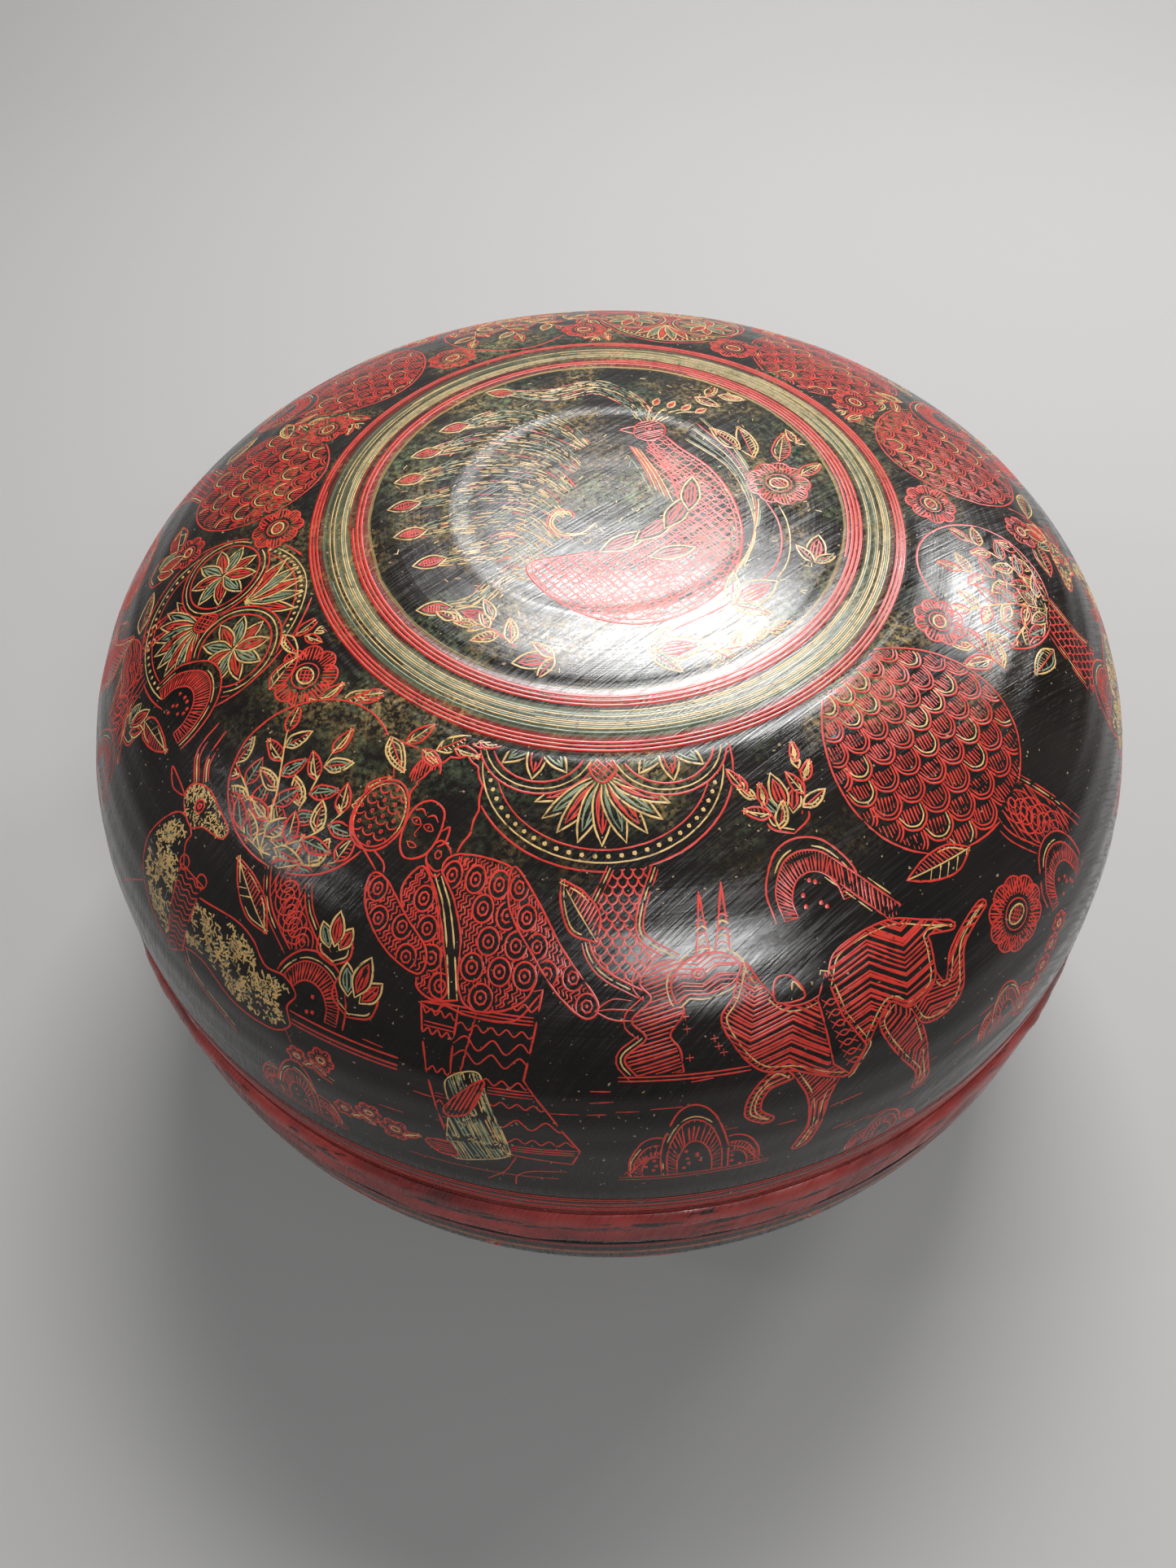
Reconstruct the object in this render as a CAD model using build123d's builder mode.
"""Round lidded box of coiled bamboo strip under lacquer: a domed lid that lifts off a shallow bowl.

Frame: millimetres, +Z up, origin at the centre of the foot's flat underside.
Every wall is a sandwich, from the outside in: lacquer coat, bamboo coil, lacquer lining.
The coil is flat strip, so the faces where coats and coil meet are straight in section,
one straight for each turn of the coil. Only the surfaces that show are smooth curves.
"""

import os
from math import cos, hypot, pi, sin

from build123d import *

# Driving dimensions
SEAM_Z = 84.0  # height of the plane where the lid meets the bowl
SEAM_GAP = 0.3  # the lid's mouth stands this far above the bowl's
LID_RADIUS = 138.5  # lid's outside at its mouth
LID_HEIGHT = 94.0  # lid's outside, from the seam to the middle of its top
LID_FLATNESS = (2.8, 3.1)  # exponents of the lid's rounded-square section
BOWL_RADIUS = 141.0  # bowl's outside at its widest
BOWL_WIDEST_Z = 71.0  # height of that widest ring
BOWL_MOUTH_TUCK = 1.6  # how much the bowl closes in again at its mouth
BOWL_BOTTOM_Z = 4.5  # height of the bowl's underside in the middle
BOWL_FLATNESS = (2.25, 2.7)

STRIP = 8.3  # width of the bamboo strip, so of one turn of the coil
NOTCH = 0.45  # bevel left where two turns meet
LID_COAT, LID_CORE, LID_LINING = 1.0, 2.0, 0.9
BOWL_COAT, BOWL_CORE, BOWL_LINING = 1.2, 3.0, 0.9
COLLAR_RADIUS = 134.3  # outside of the collar that the lid slides over
COLLAR_THICKNESS = 3.0
COLLAR_RISE = 13.0  # how far the collar stands above the seam
COLLAR_DEPTH = 13.5  # how far it is glued down inside the bowl's mouth
LID_CLEARANCE = 1.2  # between the collar and the lid's bore, on the radius
LID_LIP_SWELL = 3.0  # the lid's lip stands this proud of its flank
BOWL_LIP_SWELL = 0.7
LIP_TURNS = 1  # turns of the coil that a lip covers
HOOP_TURNS = 2  # turns that the solid hoop at each mouth replaces
WALL_TURNS = 6  # turns in the steep part of each wall
LID_DISC_TURNS = 8  # turns in the flat top, counted from the middle
BOWL_DISC_TURNS = 9
FOOT_TURN = 9  # the foot's outer edge is this many turns from the bowl's middle

BOWL_TUCK_SHARE = 0.12  # share of the bowl's outline that lies above its widest ring
COLLAR_FILLET = 1.0
FOOT_FILLET = 1.0

FINE = 2000  # steps used to measure an outline's length
LENGTH_TOLERANCE = 1e-6
LID_SIDE = 1  # the lid's outline is followed upwards, so its outside lies to the right
BOWL_SIDE = -1  # the bowl's is followed downwards, so its outside lies to the left


def lid_outline(t):
    """Radius and height of the lid's outside, from its mouth (t = 0) to the middle of its top (t = 1)."""
    a = t * pi / 2
    across, up = LID_FLATNESS
    return (
        LID_RADIUS * max(cos(a), 0.0) ** (2 / across),
        SEAM_Z + SEAM_GAP + (LID_HEIGHT - SEAM_GAP) * sin(a) ** (2 / up),
    )


def bowl_outline(t):
    """Radius and height of the bowl's outside, from its mouth (t = 0) to its underside's middle (t = 1)."""
    rise = SEAM_Z - BOWL_WIDEST_Z
    if t < BOWL_TUCK_SHARE:
        up = 1 - t / BOWL_TUCK_SHARE
        return BOWL_RADIUS - BOWL_MOUTH_TUCK * up**2, BOWL_WIDEST_Z + rise * up
    a = (t - BOWL_TUCK_SHARE) / (1 - BOWL_TUCK_SHARE) * pi / 2
    across, down = BOWL_FLATNESS
    drop = BOWL_WIDEST_Z - BOWL_BOTTOM_Z
    return (
        BOWL_RADIUS * max(cos(a), 0.0) ** (2 / across),
        BOWL_WIDEST_Z - drop * sin(a) ** (2 / down),
    )


def turns(outline, side):
    """Where the coil's turns meet, at even steps along an outline: each point with its outward normal."""
    fine = [outline(i / FINE) for i in range(FINE + 1)]
    run = [0.0]
    for (r0, z0), (r1, z1) in zip(fine, fine[1:]):
        run.append(run[-1] + hypot(r1 - r0, z1 - z0))
    count = round(run[-1] / STRIP)
    found = []
    i = 0
    for n in range(count + 1):
        while i < FINE and run[i] < run[-1] * n / count - LENGTH_TOLERANCE:
            i += 1
        before, after = fine[max(i - 1, 0)], fine[min(i + 1, FINE)]
        dr, dz = after[0] - before[0], after[1] - before[1]
        size = hypot(dr, dz)
        normal = (side * dz / size, -side * dr / size)
        if n == count:
            normal = (0.0, float(side))
        if n == 0:
            normal = (1.0, 0.0)
        found.append((fine[i], normal))
    return found


def sunk(stations, depth):
    """The stations' points, moved inwards by depth."""
    return [(r - nr * depth, z - nz * depth) for (r, z), (nr, nz) in stations]


def toward(start, end, distance):
    """The point at a distance from start, on the way to end."""
    reach = hypot(end[0] - start[0], end[1] - start[1])
    return tuple(s + (e - s) * distance / reach for s, e in zip(start, end))


def coil_section(outside, inside, side):
    """A stretch of coil: a small bevelled notch between two turns on the outside, straight on the inside."""
    edge = [outside[0]]
    for before, here, after in zip(outside, outside[1:], outside[2:]):
        chord = hypot(after[0] - before[0], after[1] - before[1])
        out_r = side * (after[1] - before[1]) / chord
        out_z = side * (before[0] - after[0]) / chord
        edge.append(toward(here, before, NOTCH))
        edge.append((here[0] - out_r * NOTCH, here[1] - out_z * NOTCH))
        edge.append(toward(here, after, NOTCH))
    edge.append(outside[-1])
    return edge + inside[::-1]


lid = turns(lid_outline, LID_SIDE)
bowl = turns(bowl_outline, BOWL_SIDE)
lid_shown = sunk(lid, 0)
lid_under_coat = sunk(lid, LID_COAT)
lid_under_core = sunk(lid, LID_COAT + LID_CORE)
lid_inside = sunk(lid, LID_COAT + LID_CORE + LID_LINING)
bowl_shown = sunk(bowl, 0)
bowl_under_coat = sunk(bowl, BOWL_COAT)
bowl_under_core = sunk(bowl, BOWL_COAT + BOWL_CORE)
bowl_inside = sunk(bowl, BOWL_COAT + BOWL_CORE + BOWL_LINING)
lid_shoulder = HOOP_TURNS + WALL_TURNS  # station where the lid's wall turns into its shoulder
bowl_shoulder = HOOP_TURNS + WALL_TURNS
lid_disc = len(lid) - 1 - LID_DISC_TURNS
bowl_disc = len(bowl) - 1 - BOWL_DISC_TURNS
foot = len(bowl) - 1 - FOOT_TURN


def lid_coil(first, last):
    """The lid's coil in section, from one station to another."""
    return coil_section(lid_under_coat[first : last + 1], lid_under_core[first : last + 1], LID_SIDE)


def bowl_coil(first, last):
    """The bowl's coil in section, from one station to another."""
    return coil_section(bowl_under_coat[first : last + 1], bowl_under_core[first : last + 1], BOWL_SIDE)


# Lid
with BuildPart() as lid_top_disc:
    with BuildSketch(Plane.XZ):
        with BuildLine():
            Polyline(*lid_coil(lid_disc, len(lid) - 1), close=True)
        make_face()
    revolve(axis=Axis.Z)

with BuildPart() as lid_shoulder_coil:
    with BuildSketch(Plane.XZ):
        with BuildLine():
            Polyline(*lid_coil(lid_shoulder, lid_disc), close=True)
        make_face()
    revolve(axis=Axis.Z)

with BuildPart() as lid_wall_coil:
    with BuildSketch(Plane.XZ):
        with BuildLine():
            Polyline(*lid_coil(HOOP_TURNS, lid_shoulder), close=True)
        make_face()
    revolve(axis=Axis.Z)

with BuildPart() as lid_rim_hoop:
    bore = COLLAR_RADIUS + LID_CLEARANCE
    top_r, top_z = lid_inside[HOOP_TURNS]
    with BuildSketch(Plane.XZ):
        with BuildLine():
            Polyline(
                *lid_under_coat[: HOOP_TURNS + 1],
                (top_r, top_z),
                (bore, top_z),
                (bore, SEAM_Z + SEAM_GAP),
                close=True,
            )
        make_face()
    revolve(axis=Axis.Z)

with BuildPart() as lid_lip_band:
    (low_r, low_z), (high_r, high_z) = lid_shown[0], lid_shown[LIP_TURNS]
    with BuildSketch(Plane.XZ):
        with BuildLine():
            ThreePointArc(
                (low_r, low_z), (low_r + LID_LIP_SWELL, (low_z + high_z) / 2), (high_r, high_z)
            )
            Polyline((high_r, high_z), lid_under_coat[LIP_TURNS], lid_under_coat[0], (low_r, low_z))
        make_face()
    revolve(axis=Axis.Z)

with BuildPart() as lid_lacquer:
    with BuildSketch(Plane.XZ):
        with BuildLine():
            Spline(*lid_shown[LIP_TURNS:])
            Polyline(lid_shown[-1], *lid_under_coat[: LIP_TURNS - 1 : -1], lid_shown[LIP_TURNS])
        make_face()
    revolve(axis=Axis.Z)

with BuildPart() as lid_lining:
    with BuildSketch(Plane.XZ):
        with BuildLine():
            Spline(*lid_inside[HOOP_TURNS:])
            Polyline(lid_inside[-1], *lid_under_core[: HOOP_TURNS - 1 : -1], lid_inside[HOOP_TURNS])
        make_face()
    revolve(axis=Axis.Z)


# Bowl
with BuildPart() as bowl_base_disc:
    with BuildSketch(Plane.XZ):
        with BuildLine():
            Polyline(*bowl_coil(bowl_disc, len(bowl) - 1), close=True)
        make_face()
    revolve(axis=Axis.Z)

with BuildPart() as bowl_shoulder_coil:
    with BuildSketch(Plane.XZ):
        with BuildLine():
            Polyline(*bowl_coil(bowl_shoulder, bowl_disc), close=True)
        make_face()
    revolve(axis=Axis.Z)

with BuildPart() as bowl_wall_coil:
    with BuildSketch(Plane.XZ):
        with BuildLine():
            Polyline(*bowl_coil(HOOP_TURNS, bowl_shoulder), close=True)
        make_face()
    revolve(axis=Axis.Z)

with BuildPart() as bowl_rim_hoop:
    low_r, low_z = bowl_inside[HOOP_TURNS]
    with BuildSketch(Plane.XZ):
        with BuildLine():
            Polyline(
                *bowl_under_coat[: HOOP_TURNS + 1],
                (low_r, low_z),
                (COLLAR_RADIUS, low_z),
                (COLLAR_RADIUS, SEAM_Z),
                close=True,
            )
        make_face()
    revolve(axis=Axis.Z)

with BuildPart() as seat_collar:
    with BuildSketch(Plane.XZ):
        with Locations((COLLAR_RADIUS, SEAM_Z - COLLAR_DEPTH)):
            Rectangle(COLLAR_THICKNESS, COLLAR_DEPTH + COLLAR_RISE, align=(Align.MAX, Align.MIN))
    revolve(axis=Axis.Z)
    collar_top = seat_collar.edges().group_by(Axis.Z)[-1].sort_by(SortBy.RADIUS)
    fillet(collar_top, radius=COLLAR_FILLET)

with BuildPart() as bowl_lip_band:
    (high_r, high_z), (low_r, low_z) = bowl_shown[0], bowl_shown[LIP_TURNS]
    middle = ((high_r + low_r) / 2 + BOWL_LIP_SWELL, (high_z + low_z) / 2)
    with BuildSketch(Plane.XZ):
        with BuildLine():
            ThreePointArc((high_r, high_z), middle, (low_r, low_z))
            Polyline((low_r, low_z), bowl_under_coat[LIP_TURNS], bowl_under_coat[0], (high_r, high_z))
        make_face()
    revolve(axis=Axis.Z)

with BuildPart() as bowl_lacquer:
    with BuildSketch(Plane.XZ):
        with BuildLine():
            Spline(*bowl_shown[LIP_TURNS : foot + 1])
            Polyline(
                bowl_shown[foot],
                *bowl_under_coat[foot : LIP_TURNS - 1 : -1],
                bowl_shown[LIP_TURNS],
            )
        make_face()
    revolve(axis=Axis.Z)

with BuildPart() as bowl_lining:
    with BuildSketch(Plane.XZ):
        with BuildLine():
            Spline(*bowl_inside[HOOP_TURNS:])
            Polyline(bowl_inside[-1], *bowl_under_core[: HOOP_TURNS - 1 : -1], bowl_inside[HOOP_TURNS])
        make_face()
    revolve(axis=Axis.Z)

with BuildPart() as underside_lacquer:
    with BuildSketch(Plane.XZ):
        with BuildLine():
            Spline(*bowl_shown[foot + 1 :])
            Polyline(bowl_shown[-1], *bowl_under_coat[:foot:-1], bowl_shown[foot + 1])
        make_face()
    revolve(axis=Axis.Z)


def to_floor(station):
    """The point where a station's normal, followed outwards from under the coat, meets the floor."""
    (r, z), (nr, nz) = station
    return r - nr / nz * z, 0.0


with BuildPart() as foot_ring:
    with BuildSketch(Plane.XZ):
        with BuildLine():
            Polyline(
                bowl_under_coat[foot],
                to_floor(bowl[foot]),
                to_floor(bowl[foot + 1]),
                bowl_under_coat[foot + 1],
                close=True,
            )
        make_face()
    revolve(axis=Axis.Z)
    fillet(foot_ring.edges().group_by(Axis.Z)[0], radius=FOOT_FILLET)


pieces = {
    "lid_top_disc": lid_top_disc,
    "lid_shoulder_coil": lid_shoulder_coil,
    "lid_wall_coil": lid_wall_coil,
    "lid_rim_hoop": lid_rim_hoop,
    "lid_lip_band": lid_lip_band,
    "lid_lacquer": lid_lacquer,
    "lid_lining": lid_lining,
    "bowl_base_disc": bowl_base_disc,
    "bowl_shoulder_coil": bowl_shoulder_coil,
    "bowl_wall_coil": bowl_wall_coil,
    "bowl_rim_hoop": bowl_rim_hoop,
    "bowl_lip_band": bowl_lip_band,
    "bowl_lacquer": bowl_lacquer,
    "bowl_lining": bowl_lining,
    "underside_lacquer": underside_lacquer,
    "seat_collar": seat_collar,
    "foot_ring": foot_ring,
}

os.makedirs("parts", exist_ok=True)
for name, piece in pieces.items():
    piece.part.label = name
    export_step(piece.part, f"parts/{name}.step")
